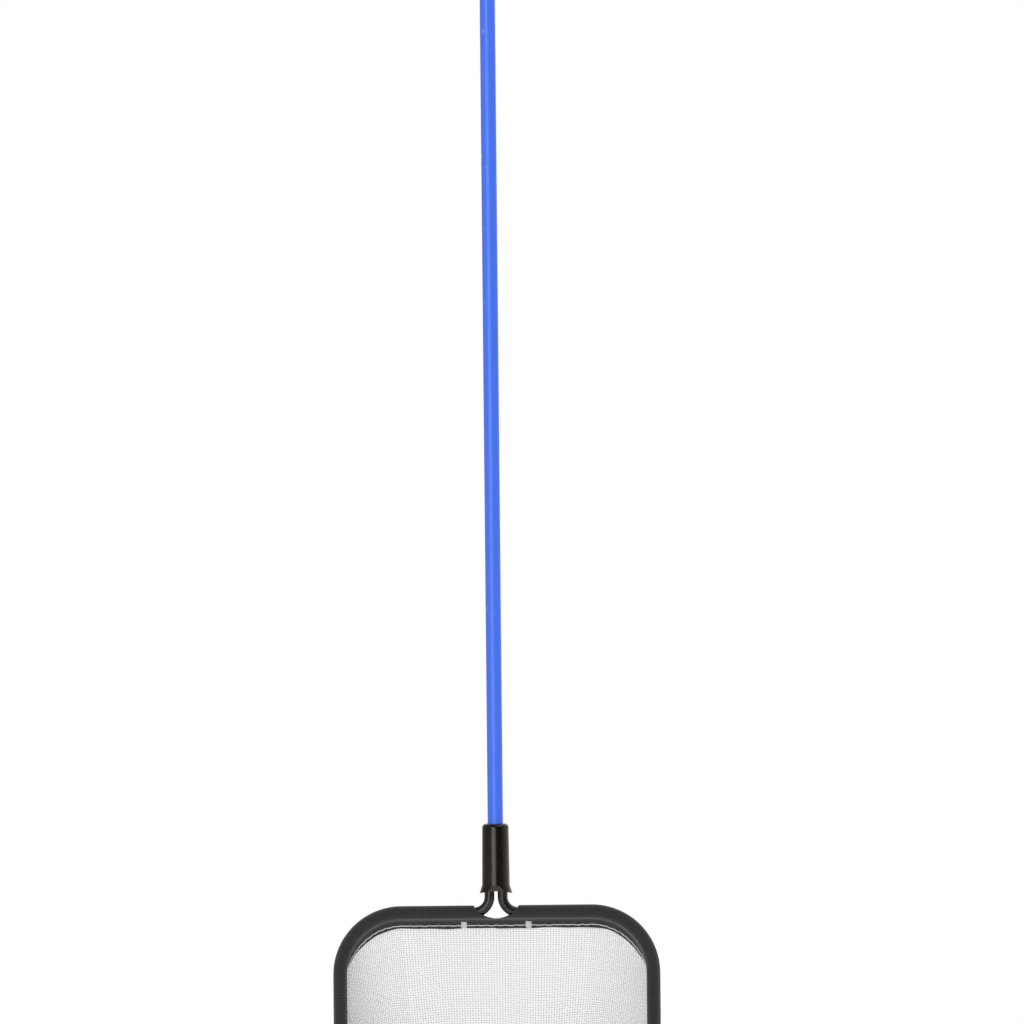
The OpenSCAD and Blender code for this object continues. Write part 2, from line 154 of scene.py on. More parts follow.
def shape(name, points, faces, corners=None):
    """An object from points in millimetres. faces is a list of index arrays, one for each count of
    corners, and corners a list of UV arrays to match. Points that no face uses are dropped."""
    flat = np.concatenate([f.ravel() for f in faces])
    used, flat = np.unique(flat, return_inverse=True)
    counts = np.concatenate([np.full(len(f), f.shape[1]) for f in faces])
    mesh = bpy.data.meshes.new(name)
    mesh.vertices.add(len(used))
    mesh.vertices.foreach_set("co", (points.reshape(-1, 3)[used] * MM).astype(np.float32).ravel())
    mesh.loops.add(len(flat))
    mesh.loops.foreach_set("vertex_index", flat.ravel().astype(np.int32))
    mesh.polygons.add(len(counts))
    mesh.polygons.foreach_set("loop_start", (np.cumsum(counts) - counts).astype(np.int32))
    if corners is not None:
        uv = mesh.uv_layers.new(name="cloth")
        uv.data.foreach_set("uv", np.concatenate([c.reshape(-1) for c in corners]).astype(np.float32))
    mesh.update(calc_edges=True)
    obj = bpy.data.objects.new(name, mesh)
    bpy.context.scene.collection.objects.link(obj)
    return obj


def piece(name, points, faces, corners, material):
    """A smooth piece of the net. The net is one body, so every piece rides on it."""
    obj = shape(name, points, faces, corners)
    obj.data.shade_smooth()
    obj.data.materials.append(material)
    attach(obj, "root")
    return obj


def apply_modifiers(obj):
    """Makes a piece's modifiers part of its mesh, takes out the slivers that a cut leaves, and keeps
    sharp edges sharp."""
    shown = obj.evaluated_get(bpy.context.evaluated_depsgraph_get())
    mesh = bpy.data.meshes.new_from_object(shown)
    obj.modifiers.clear()
    obj.data = mesh
    clean = bmesh.new()
    clean.from_mesh(mesh)
    bmesh.ops.remove_doubles(clean, verts=clean.verts, dist=sliver)
    bmesh.ops.dissolve_degenerate(clean, edges=clean.edges, dist=sliver)
    clean.to_mesh(mesh)
    clean.free()
    mesh.shade_smooth()
    mesh.set_sharp_from_angle(angle=sharp_angle)


def threads(points, up, radius, sides, live=None):
    """Round threads along rows of points. A ring at each place is radius times the cosine of its
    turn along up plus the sine across, in the plane square to the row. live says which steps of a
    row are there, and each run of steps is capped at both ends. UV is turns round and millimetres
    along. Gives points, faces and UV."""
    rows, stops = points.shape[:2]
    live = np.ones((rows, stops - 1), bool) if live is None else live
    run = unit(np.gradient(points, axis=1))
    up = unit(up - (up * run).sum(-1, keepdims=True) * run)
    across = np.cross(run, up)
    turn = 2 * np.pi * (np.arange(sides) + 0.5) / sides
    ring = points[:, :, None] + radius * (
        np.cos(turn)[:, None] * up[:, :, None] + np.sin(turn)[:, None] * across[:, :, None])
    index = np.arange(rows * stops * sides).reshape(rows, stops, sides)
    a = index[:, :-1][live]
    b = index[:, 1:][live]
    walls = np.stack([a, np.roll(a, -1, 1), np.roll(b, -1, 1), b], axis=-1).reshape(-1, 4)
    pad = np.pad(live, ((0, 0), (1, 1)))
    starts = index[pad[:, 1:] & ~pad[:, :-1]][:, ::-1]
    ends = index[pad[:, :-1] & ~pad[:, 1:]]
    caps = np.concatenate([starts, ends])
    step = np.linalg.norm(np.diff(points, axis=1), axis=-1)
    far = np.pad(np.cumsum(step, axis=1), ((0, 0), (1, 0)))
    v_a = far[:, :-1][live]
    v_b = far[:, 1:][live]
    u = np.arange(sides) / sides
    wall_uv = stack(np.stack([u, u + 1 / sides, u + 1 / sides, u], axis=-1) + 0 * v_a[:, None, None],
                    np.stack([v_a, v_a, v_b, v_b], axis=-1)[:, None, :])
    return ring, [walls, caps], [wall_uv.reshape(-1, 4, 2), np.zeros(caps.shape + (2,))]


def joined(name, parts, material):
    """Several sets of threads as one piece."""
    starts = np.cumsum([0] + [ring.size // 3 for ring, _, _ in parts])
    points = np.concatenate([ring.reshape(-1, 3) for ring, _, _ in parts])
    kinds = range(len(parts[0][1]))
    faces = [np.concatenate([part[1][k] + start for part, start in zip(parts, starts)]) for k in kinds]
    corners = [np.concatenate([part[2][k] for part in parts]) for k in kinds]
    return piece(name, points, faces, corners, material)


# The bag's shape

# Its two panels, as the side that a panel is on. The signs turn normals out of the bag
BACK = 1
FRONT = -1

# Step for slopes of the cloth, and steps across the cut that measure its area
probe = 0.1

# Soft folds: waves across the panel that run down it, as [count over the half width, height, lean
# of the fold, start], and the power of the sine that they swell with
folds = {BACK: [(2.6, 0.72, 0.5, 0.4), (4.3, 0.44, -0.9, 2.1), (7.4, 0.2, 1.3, 4.0)],
         FRONT: [(2.1, 0.95, -0.6, 1.2), (3.7, 0.58, 0.8, 3.3), (6.9, 0.25, -1.2, 5.1)]}
swell_power = 1.2

# Small puckers beside the seam: height, pitch, how far they reach, how soon they start, and how
# long they take to rise from the hem
pucker_h = 0.32
pucker_pitch = 4.3
pucker_reach = 4.5
pucker_start = 1.2
pucker_rise = 4


def hoop_point(length):
    """Place [x, z] on the hoop's right half at a length from its top middle: a level bar, a quarter
    circle of top_r, a straight side, a quarter circle of low_r and a level bar back to the middle."""
    turn = (length - top_x) / top_r
    low_turn = (length - len_side) / low_r
    where = [length < top_x, length < len_top, length < len_side, length < len_low]
    x = np.select(
        where, [length, top_x + top_r * np.sin(turn), hoop_a, low_x + low_r * np.cos(low_turn)],
        low_x - (length - len_low))
    z = np.select(
        where, [top_z, top_mid_z + top_r * np.cos(turn), top_mid_z - (length - len_top),
                low_mid_z - low_r * np.sin(low_turn)], low_z)
    return x, z


def mouth(p, side):
    """Where a panel's mouth is held, at p from side to side of it: the back panel on the hoop's
    upper half, and the front one on its lower half."""
    x, z = hoop_point(np.abs(p) if side == BACK else len_half - np.abs(p))
    return stack(np.sign(p) * x, 0 * x, z)


def cut_round(s):
    """Round outline of the cut: the height over a share s of the half width, as a superellipse."""
    return np.maximum(0, 1 - np.abs(s) ** cut_power) ** (1 / cut_power)


def cut_len(p):
    """Length of the cut below the wire at p across: bag_side, and the rest by the round outline."""
    return bag_side + (bag_depth - bag_side) * cut_round(p / panel_half)


def seam_point(s):
    """The seam as it hangs: y grows with the round outline, z falls in line with y, and x is the
    half width less the share left over, raised to taper_power."""
    y = side_y + (tip_y - side_y) * cut_round(s)
    x = np.sign(s) * hoop_a * (1 - np.maximum(0, 1 - np.abs(s)) ** taper_power)
    return stack(x, y, mid_z + (tip_z - mid_z) * (y - hem_w) / (tip_y - hem_w))


def bare_cloth(p, q, side):
    """The cloth as it hangs, smooth, at p across and q down: straight and square to the wire for the
    hem's width, and then the straight line to the seam plus a parabola of sag. The sag dies out
    towards the sides, and q is evened out by a sine."""
    p, q = np.broadcast_arrays(np.asarray(p, float), np.asarray(q, float))
    s = p / panel_half
    start = mouth(p, side)
    end = seam_point(s)
    run = unit(mouth(p + probe, side) - mouth(p - probe, side))
    near = np.minimum(1, np.abs(s))
    sag = back_sag * (1 - near ** 2) ** 2 if side == BACK else front_sag * (1 - near ** 3)
    hang = 4 * sag[..., None] * unit(stack(np.sign(s) * s * s * out_share, rear_share, -1.0))
    pull = end - start + hang
    square = unit(pull - (pull * run).sum(-1, keepdims=True) * run)
    edge = start + hem_w * square
    span = cut_len(p) - hem_w
    t0 = (q - hem_w) / span
    even = 1 - span / np.linalg.norm(end - edge + hang, axis=-1)
    t = (t0 - even * np.sin(2 * np.pi * t0) / (2 * np.pi))[..., None]
    return np.where((q < hem_w)[..., None], start + q[..., None] * square,
                    edge + (end - edge) * t + hang * t * (1 - t))


def outward(surface, p, q, side):
    """Normal of a surface of the bag, out of the bag: the cross product of its slopes along p and q."""
    along = side * (surface(p + probe, q, side) - surface(p - probe, q, side))
    return unit(np.cross(along, surface(p, q + probe, side) - surface(p, q - probe, side)))


def fold_height(p, q, side):
    """Height of the folds over the smooth cloth: each wave is a cosine of its count over the width
    plus its lean down the panel, and the power of a sine takes them to nothing at the hem and the
    seam. Beside the seam stand small puckers, a cosine along it that fades away exponentially."""
    s = p / panel_half
    t = np.clip((q - hem_w) / (cut_len(p) - hem_w), 0, 1)
    swell = np.sin(np.pi * t) ** swell_power
    height = sum(h * np.cos(np.pi * (count * s + lean * t) + start) for count, h, lean, start in folds[side])
    left = cut_len(p) - q
    near = np.exp(-left / pucker_reach) * (1 - np.exp(-left / pucker_start)) * (q > hem_w)
    gather = np.clip((q - hem_w) / pucker_rise, 0, 1)
    return height * swell + pucker_h * gather * near * np.cos(2 * np.pi * p / pucker_pitch + side)


def cloth(p, q, side):
    """The cloth with its folds, moved along the normal of the smooth cloth."""
    p, q = np.broadcast_arrays(np.asarray(p, float), np.asarray(q, float))
    return bare_cloth(p, q, side) + fold_height(p, q, side)[..., None] * outward(bare_cloth, p, q, side)


# Tools for materials

# The sockets for colour on a Mix node, which has others of the same names
COLOUR_LOW = 6
COLOUR_HIGH = 7
COLOUR_OUT = 2


def node(tree, kind, inputs=(), **settings):
    """A node of a material, with its settings made and its inputs set or linked."""
    made = tree.nodes.new(kind)
    for key, value in settings.items():
        setattr(made, key, value)
    for key, value in dict(inputs).items():
        if isinstance(value, bpy.types.NodeSocket):
            tree.links.new(value, made.inputs[key])
        else:
            made.inputs[key].default_value = value
    return made


def finish(name, sockets):
    """A new material, its node tree and its shader, with uniform numbers on the shader's sockets."""
    made = bpy.data.materials.new(name)
    made.use_nodes = True
    shader = made.node_tree.nodes["Principled BSDF"]
    for key, value in sockets.items():
        shader.inputs[key].default_value = value
    return made, made.node_tree, shader


def drive(tree, shader, sockets):
    """A shader's sockets linked to what varies over the surface."""
    for key, value in sockets.items():
        tree.links.new(value, shader.inputs[key])


def places(tree, scale=(1, 1, 1)):
    """Object coordinates, stretched by a scale."""
    where = node(tree, "ShaderNodeTexCoord").outputs["Object"]
    return node(tree, "ShaderNodeMapping", {"Vector": where, "Scale": scale}).outputs["Vector"]


def cloth_places(tree):
    """The piece's own UV, as two outputs, X and Y."""
    where = node(tree, "ShaderNodeTexCoord").outputs["UV"]
    return node(tree, "ShaderNodeSeparateXYZ", {"Vector": where}).outputs


def noise(tree, where, scale, detail=4, roughness=0.55):
    """Even noise between 0 and 1."""
    return node(tree, "ShaderNodeTexNoise", {
        "Vector": where, "Scale": scale, "Detail": detail, "Roughness": roughness}).outputs["Fac"]


def spread(tree, value, before, after):
    """A value mapped from the range before to the range after, and kept in it."""
    return node(tree, "ShaderNodeMapRange", {
        "Value": value, "From Min": before[0], "From Max": before[1],
        "To Min": after[0], "To Max": after[1]}).outputs["Result"]


def mix_colours(tree, share, low, high):
    """Two colours mixed by a share."""
    return node(tree, "ShaderNodeMix", {
        "Factor": share, COLOUR_LOW: (*low, 1), COLOUR_HIGH: (*high, 1)},
        data_type="RGBA").outputs[COLOUR_OUT]


def mix_values(tree, share, low, high):
    """Two values mixed by a share."""
    return node(tree, "ShaderNodeMix", {"Factor": share, "A": low, "B": high}).outputs[0]


def bump(tree, height, distance, strength, below=None):
    """Bump of a height, in metres, over another bump if there is one."""
    made = node(tree, "ShaderNodeBump", {"Height": height, "Distance": distance, "Strength": strength})
    if below is not None:
        tree.links.new(below, made.inputs["Normal"])
    return made.outputs["Normal"]


def reckon(tree, operation, a, b=0.0):
    """One sum of two values."""
    return node(tree, "ShaderNodeMath", {0: a, 1: b}, operation=operation).outputs[0]


def wave(tree, value, pitch, low):
    """A sine of a value, one wave for each pitch, from 0 at low to 1 at its top."""
    turn = reckon(tree, "MULTIPLY", value, 2 * math.pi / pitch)
    return spread(tree, reckon(tree, "SINE", turn), (low, 1), (0, 1))


# Finishes

# Colours, each from its darker to its paler tone
sheath_blues = (0.045, 0.153, 0.84), (0.12, 0.3, 0.98)
ferrule_blacks = (0.0014, 0.0005, 0.0003), (0.0065, 0.0033, 0.0021)
cap_blacks = (0.0018, 0.0008, 0.0006), (0.0078, 0.0043, 0.003)
coat_blacks = (0.005, 0.005, 0.0055), (0.018, 0.018, 0.019)
# The tape's darker tone is painted shade in the grooves of its weave
tape_blacks_and_groove_shade = (0.006, 0.006, 0.007), (0.042, 0.041, 0.044)
nylon_whites = (0.76, 0.78, 0.79), (0.90, 0.91, 0.91)
# The sewing thread's darker tone is painted shade in the hollows between its plies
thread_white_and_ply_shade = (0.42, 0.42, 0.41), (0.78, 0.78, 0.76)
# The seam's darker tone is painted shade in the gaps between its pressed threads
bunched_whites_and_gap_shade = (0.30, 0.31, 0.31), (0.74, 0.76, 0.76)
fluff_grey = (0.6, 0.6, 0.62)
steel_tone = (0.56, 0.55, 0.53)
band_tone = (0.5, 0.46, 0.4)
dull_share = 0.8

# Weaves: pitch of the tape's ribs and warp yarns, turns of the sewing thread's plies in a
# millimetre, and pitch of the pressed threads along and across the seam
rib_pitch = 0.42
yarn_pitch = 0.34
ply_twist = 1.6
bunched_pitch = {"X": 0.52, "Y": 0.4}


def blue_sheath():
    """Glossy blue plastic, drawn over the rod: fine lines along it, faint scuffs and a few tiny pale
    nicks, which are ragged spots at the middles of scattered cells."""
    made, tree, shader = finish("blue_sheath", {"IOR": 1.48, "Coat Weight": 0.05, "Coat Roughness": 0.2})
    drawn = noise(tree, places(tree, (1, 1, 0.012)), scale=2600)
    cloudy = noise(tree, places(tree), scale=90)
    scuffs = noise(tree, places(tree, (1, 1, 0.18)), scale=900, detail=6)
    cells = node(tree, "ShaderNodeTexVoronoi", {"Vector": places(tree, (1, 1, 0.7)), "Scale": 280})
    ragged = spread(tree, noise(tree, places(tree), scale=3000), (0.3, 0.7), (-0.06, 0.06))
    off_middle = reckon(tree, "ADD", cells.outputs["Distance"], ragged)
    whole = spread(tree, off_middle, (0.05, 0.12), (0, 1))
    nicks = reckon(tree, "SUBTRACT", 1.0, whole)
    pale = reckon(tree, "MAXIMUM", reckon(tree, "MULTIPLY", cloudy, 0.12), nicks)
    lines = bump(tree, drawn, distance=0.00003, strength=0.7)
    uneven = bump(tree, cloudy, distance=0.00012, strength=0.4, below=lines)
    drive(tree, shader, {
        "Base Color": mix_colours(tree, pale, *sheath_blues),
        "Roughness": spread(tree, scuffs, (0.4, 0.72), (0.3, 0.42)),
        "Normal": bump(tree, whole, distance=0.00003, strength=0.5, below=uneven)})
    return made


def black_moulding(name, blacks, grain=7000):
    """Satin black plastic, with the fine grain of its mould and scuffs that catch the light."""
    made, tree, shader = finish(name, {"IOR": 1.5})
    fine = noise(tree, places(tree), scale=grain, detail=2)
    broad = noise(tree, places(tree), scale=160)
    scuffs = noise(tree, places(tree, (1, 1, 0.3)), scale=1200, detail=7, roughness=0.65)
    paler_share = spread(tree, scuffs, (0.56, 0.74), (0, 1))
    tint = spread(tree, broad, (0.3, 0.7), (0, 0.6))
    grained = bump(tree, fine, distance=0.000012, strength=0.6)
    drive(tree, shader, {
        "Base Color": mix_colours(tree, reckon(tree, "MAXIMUM", tint, paler_share), *blacks),
        "Roughness": spread(tree, scuffs, (0.35, 0.75), (0.17, 0.3)),
        "Normal": bump(tree, broad, distance=0.0001, strength=0.3, below=grained)})
    return made


def drawn_steel(name, tone, along):
    """Bright drawn wire: lines along it, and dull patches."""
    made, tree, shader = finish(name, {"Metallic": 1.0})
    lines = noise(tree, places(tree, along), scale=3000)
    dull = noise(tree, places(tree), scale=250)
    drive(tree, shader, {
        "Base Color": mix_colours(tree, dull, [dull_share * c for c in tone], tone),
        "Roughness": spread(tree, dull, (0.3, 0.7), (0.22, 0.42)),
        "Normal": bump(tree, lines, distance=0.00001, strength=0.7)})
    return made


def mesh_thread():
    """White nylon thread of the mesh, a little clear, with uneven brightness."""
    made, tree, shader = finish("mesh_thread", {
        "Roughness": 0.42, "IOR": 1.53, "Subsurface Weight": 0.3, "Subsurface Radius": (1, 1, 1),
        "Subsurface Scale": 0.00015})
    uneven = noise(tree, places(tree), scale=700)
    fine = noise(tree, places(tree), scale=9000, detail=2)
    drive(tree, shader, {
        "Base Color": mix_colours(tree, uneven, *nylon_whites),
        "Normal": bump(tree, fine, distance=0.00001, strength=0.6)})
    return made


def sewing_thread():
    """White sewing thread: two plies that wind round it, with fine hairs, and painted shade in the
    hollows between the plies. UV is turns round the thread and millimetres along it."""
    made, tree, shader = finish("sewing_thread", {
        "Roughness": 0.62, "Sheen Weight": 0.25, "Sheen Roughness": 0.4})
    uv = cloth_places(tree)
    twist = reckon(tree, "ADD", uv["X"], reckon(tree, "MULTIPLY", uv["Y"], ply_twist))
    turn = reckon(tree, "MULTIPLY", twist, 2 * math.pi)
    ply = reckon(tree, "ABSOLUTE", reckon(tree, "SINE", turn))
    hairs = noise(tree, places(tree), scale=8000)
    wound = bump(tree, ply, distance=0.00005, strength=0.8)
    # Paler on the crowns of the plies, and painted darker in the hollows between them, as shade
    drive(tree, shader, {
        "Base Color": mix_colours(tree, ply, *thread_white_and_ply_shade),
        "Normal": bump(tree, hairs, distance=0.00002, strength=0.5, below=wound)})
    return made


def woven_tape():
    """Black ribbed tape: ribs across it, crossed by fine warp yarns that shift by half a wave from
    rib to rib, with paler fluff on the ribs and painted shade in the grooves between ribs and
    yarns. UV is millimetres along the tape and across it."""
    made, tree, shader = finish("woven_tape", {
        "Sheen Weight": 0.5, "Sheen Roughness": 0.5, "Sheen Tint": (*fluff_grey, 1)})
    uv = cloth_places(tree)
    drift = spread(tree, noise(tree, places(tree), scale=300), (0, 1), (-0.25, 0.25))
    rib_at = reckon(tree, "ADD", reckon(tree, "MULTIPLY", uv["X"], 2 * math.pi / rib_pitch), drift)
    rib = spread(tree, reckon(tree, "SINE", rib_at), (-1, 1), (0, 1))
    rib_number = reckon(tree, "ROUND", reckon(tree, "DIVIDE", rib_at, 2 * math.pi))
    yarn_at = reckon(tree, "ADD", reckon(tree, "MULTIPLY", uv["Y"], 2 * math.pi / yarn_pitch),
                     reckon(tree, "MULTIPLY", rib_number, math.pi))
    yarn = spread(tree, reckon(tree, "SINE", yarn_at), (-1, 1), (0.55, 1))
    weave = reckon(tree, "MULTIPLY", rib, yarn)
    fluff = noise(tree, places(tree), scale=6000)
    # Paler on the tops of ribs and yarns where the fluff is high, and painted darker in the grooves between
    # them, as shade
    paler_share = reckon(tree, "MULTIPLY", weave, spread(tree, fluff, (0.35, 0.8), (0.35, 1)))
    woven = bump(tree, weave, distance=0.00009, strength=0.9)
    drive(tree, shader, {
        "Base Color": mix_colours(tree, paler_share, *tape_blacks_and_groove_shade),
        "Roughness": spread(tree, weave, (0, 1), (0.92, 0.66)),
        "Normal": bump(tree, fluff, distance=0.00003, strength=0.5, below=woven)})
    return made


def bunched_mesh():
    """The panels' cut edges pressed together in the seam: many fine white threads, with painted
    shade in the gaps between them. UV is millimetres along and across."""
    made, tree, shader = finish("bunched_mesh", {"Roughness": 0.6, "Sheen Weight": 0.3})
    uv = cloth_places(tree)
    bars = [wave(tree, uv[axis], pitch, low=-0.4) for axis, pitch in bunched_pitch.items()]
    threads_up = reckon(tree, "MAXIMUM", *bars)
    fine = noise(tree, places(tree), scale=5000)
    # Threads that stand up are paler, and the gaps between them are painted darker, as shade
    lit = reckon(tree, "MULTIPLY", threads_up, spread(tree, fine, (0.2, 0.7), (0.6, 1)))
    drive(tree, shader, {
        "Base Color": mix_colours(tree, lit, *bunched_whites_and_gap_shade),
        "Normal": bump(tree, threads_up, distance=0.00012, strength=0.9)})
    return made


node_finish = {
    "handle_sheath": blue_sheath(),
    "end_cap": black_moulding("cap_plastic", cap_blacks),
    "ferrule": black_moulding("ferrule_plastic", ferrule_blacks),
    "hoop_coating": black_moulding("wire_coat", coat_blacks, grain=11000),
    "handle_rod": drawn_steel("rod_steel", steel_tone, along=(1, 1, 0.02)),
    "hoop_wire": drawn_steel("wire_steel", steel_tone, along=(1, 1, 1)),
    "crimp_band": drawn_steel("band_steel", band_tone, along=(1, 1, 0.1))}
for name, material in node_finish.items():
    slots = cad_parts[name].data.materials
    slots.clear()
    slots.append(material)

tape_cloth = woven_tape()
net_thread = mesh_thread()
white_thread = sewing_thread()
seam_cloth = bunched_mesh()


# Mesh panels

# Plain weave: pitch, radius and sides of its threads, how far they swing out of the cloth, where the
# first weft lies below the wire, and the share of a pitch that a thread's last step needs
mesh_pitch = 0.75
thread_r = 0.12
mesh_sides = 3
weave_h = 0.085
mesh_top = 2.2
step_share = 0.05


def woven(p, q, side, swing, live):
    """Threads at p across and q down the cut, moved along the cloth's normal by weave_h times their
    swing, which is 1 over a thread that they cross, -1 under it and 0 at the cut's edge."""
    normal = outward(cloth, p, q, side)
    at = cloth(p, q, side) + weave_h * swing[..., None] * normal
    return threads(at, normal, thread_r, mesh_sides, live)


def woven_panel(name, side):
    """One panel of plain-woven mesh. Warp threads stand at even p and weft threads at even q of
    the cut, and each passes over and under the others: where warp i meets weft k it lies
    weave_h out of the cloth if i + k is even, and the weft as far in."""
    columns = 2 * round(panel_half / mesh_pitch)
    p_even = np.linspace(-panel_half, panel_half, columns + 1)
    q_even = mesh_top + np.arange(math.floor((bag_depth - mesh_top) / mesh_pitch) + 2) * mesh_pitch
    parity = 1 - 2 * ((np.arange(columns + 1)[:, None] + np.arange(len(q_even))) % 2)

    end_q = cut_len(p_even)[:, None]
    q = np.minimum(q_even, end_q) + 0 * p_even[:, None]
    warp_live = np.diff(q, axis=1) > step_share * mesh_pitch
    warp = woven(p_even[:, None] + 0 * q, q, side, parity * (q_even < end_q), warp_live)

    reach = np.clip((q_even - bag_side) / (bag_depth - bag_side), 0, 1)
    end_p = (panel_half * cut_round(reach))[:, None]
    p = np.clip(p_even + 0 * end_p, -end_p, end_p)
    weft_live = (np.diff(p, axis=1) > step_share * mesh_pitch) & (q_even < bag_depth)[:, None]
    weft = woven(p, q_even[:, None] + 0 * p, side, -parity.T * (np.abs(p_even) < end_p), weft_live)
    return joined(name, [warp, weft], net_thread)


back_panel = woven_panel("back_mesh", BACK)
front_panel = woven_panel("front_mesh", FRONT)
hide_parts("net_back_panel")
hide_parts("net_front_panel")


# Hem tape

# Section: how far round the wire the fold goes from the bottom, and the steps of each stretch
fold_turn = math.radians(50)
fold_steps = 15
run_in_steps = 6
flap_steps = 9

# Stations round the hoop, how far down the cloth its direction is taken, and how many stations on
# each side even it out
station_step = 0.55
hem_probe = 1
even_steps = 5

# The tape's wavy edge: height, where it starts below the wire, and its waves as [share of the
# height, millimetres in one radian, start]
edge_wave_h = 0.1
edge_from = 3
edge_waves = [(1, 3.1, 0), (0.6, 1.37, 1)]

# Stitches of the hem: how far below the wire, their length, and the dimple at each hole
stitch_q = 3.75
stitch_len = 2.5
dimple_h = 0.1
dimple_r = 0.42
stitch_count = round(hoop_len / stitch_len)
stitch_pitch = hoop_len / stitch_count

# The cut in the fold round the neck
notch_r = math.hypot(bend_x, lip_z - top_z - coat_r - tape_gap)
notch_steps = 160


def tape_section():
    """Half section of the tape's middle as [down, out]: an arc round the wire from the top of the
    fold, a curve that leaves it on its tangent, and the flat flap to the tape's edge."""
    r = coat_r + tape_gap + tape_t / 2
    turn = np.linspace(math.pi, fold_turn, fold_steps)
    arc = r * stack(np.cos(turn), np.sin(turn))
    lead = (arc[-1, 1] - flap_y) / math.cos(fold_turn)
    knee = arc[-1] + lead * np.array([math.sin(fold_turn), -math.cos(fold_turn)])
    t = np.linspace(0, 1, run_in_steps + 1)[1:, None]
    run_in = (1 - t) ** 2 * arc[-1] + 2 * t * (1 - t) * knee + t ** 2 * (knee + [lead, 0])
    flap = stack(np.linspace(run_in[-1, 0], hem_w, flap_steps + 1)[1:], flap_y)
    return np.concatenate([arc, run_in, flap])


class Hem:
    """The hem's frame round the whole hoop, clockwise from the top middle: its place on the wire,
    the way down the cloth and the way out of the bag, evened out with a short running mean."""

    def __init__(self):
        stations = 2 * round(len_half / station_step)
        self.length = hoop_len * np.arange(stations) / stations
        upper = ((self.length <= panel_half) | (self.length >= hoop_len - panel_half))[:, None]
        p_back = np.where(self.length > len_half, self.length - hoop_len, self.length)
        p_front = len_half - self.length
        self.place = np.where(upper, mouth(p_back, BACK), mouth(p_front, FRONT))
        below = np.where(upper, bare_cloth(p_back, hem_probe, BACK), bare_cloth(p_front, hem_probe, FRONT))
        run = np.roll(self.place, -1, 0) - np.roll(self.place, 1, 0)
        self.down = self.even(unit(below - self.place))
        self.out = self.even(unit(np.cross(run, self.down)))

    def even(self, v):
        """Running mean round the hoop."""
        return unit(sum(np.roll(v, k, 0) for k in range(-even_steps, even_steps + 1)))

    def at(self, length, down, out):
        """Points at a length round the hoop, so far down the cloth and out of the bag."""
        far = np.mod(length, hoop_len)
        closed = np.append(self.length, hoop_len)
        place, way_down, way_out = [
            between(far, closed, np.append(v, v[:1], axis=0)) for v in (self.place, self.down, self.out)]
        return place + np.asarray(down)[..., None] * way_down + np.asarray(out)[..., None] * way_out


hem = Hem()


def neck_cutter():
    """A round bar along Y at the ferrule's lip, a circle of notch_r carried through the whole hem."""
    turn = 2 * np.pi * np.arange(notch_steps) / notch_steps
    rim = stack(notch_r * np.cos(turn), 0.0, lip_z + notch_r * np.sin(turn))
    half_len = hem_w + tape_out_r
    points = np.concatenate([rim - [0, half_len, 0], rim + [0, half_len, 0]])
    k = np.arange(notch_steps)
    following = (k + 1) % notch_steps
    walls = stack(k, k + notch_steps, following + notch_steps, following)
    ends = np.stack([k, (k + notch_steps)[::-1]])
    return shape("neck_cutter", points, [walls, ends])


def folded_tape():
    """The tape as a thin sheet round the hoop: the half section and its mirror image at each
    station, with a dimple at each needle hole, which is a bell curve of the way from it, and a
    slightly wavy edge. It gets its thickness, and the fold is then cut away round the neck."""
    half = tape_section()
    section = np.concatenate([half[:0:-1] * [1, -1], half])
    across = np.pad(np.cumsum(np.linalg.norm(np.diff(section, axis=0), axis=1)), (1, 0))
    down = section[:, 0] + 0 * hem.length[:, None]
    edge = sum(share * np.sin(hem.length / run + start) for share, run, start in edge_waves)
    near_edge = np.clip((down - edge_from) / (hem_w - edge_from), 0, 1)
    down = down + near_edge * (edge_wave_h * edge[:, None] - edge_wave_h)
    off = (hem.length[:, None] / stitch_pitch + 0.5) % 1 - 0.5
    hole = np.exp(-((off * stitch_pitch) ** 2 + (down - stitch_q) ** 2) / (2 * dimple_r ** 2))
    out = section[:, 1] - np.sign(section[:, 1]) * dimple_h * hole
    points = hem.at(hem.length[:, None] + 0 * down, down, out)
    index = np.arange(down.size).reshape(down.shape)
    turned = np.roll(index, -1, 0)
    quads = np.stack([index[:, :-1], index[:, 1:], turned[:, 1:], turned[:, :-1]], axis=-1)
    far = np.append(hem.length, hoop_len)[:, None]
    u0 = far[:-1] + 0 * across[:-1]
    u1 = far[1:] + 0 * across[:-1]
    v0 = across[:-1] + 0 * u0
    v1 = across[1:] + 0 * u0
    corners = stack(np.stack([u0, u0, u1, u1], -1), np.stack([v0, v1, v1, v0], -1))
    tape = piece("hem_tape_cloth", points, [quads.reshape(-1, 4)], [corners.reshape(-1, 4, 2)],
                 tape_cloth)
    wall = tape.modifiers.new("wall", "SOLIDIFY")
    wall.thickness = tape_t * MM
    wall.offset = 0
    notch = neck_cutter()
    cut = tape.modifiers.new("notch", "BOOLEAN")
    cut.object = notch
    cut.operation = "DIFFERENCE"
    cut.solver = "EXACT"
    apply_modifiers(tape)
    bpy.data.objects.remove(notch)
    return tape


hem_tape_cloth = folded_tape()
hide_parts("hem_tape")
tape_width = 2 * float(np.linalg.norm(np.diff(tape_section(), axis=0), axis=1).sum())


# Stitches of the hem and tacks at the neck

# Sewing thread: radius and sides
sewing_r = 0.15
thread_sides = 6

# A stitch: its height over the cloth, how much deeper it dives, and its steps, with fewer for short
# stitches
stitch_rise = 0.1
dive_share = 2.6
stitch_steps = 10
short_steps = 8

# How far stitches stray down the tape, and the turn of that from stitch to stitch
stray_h = 0.06
stray_turn = 1.7

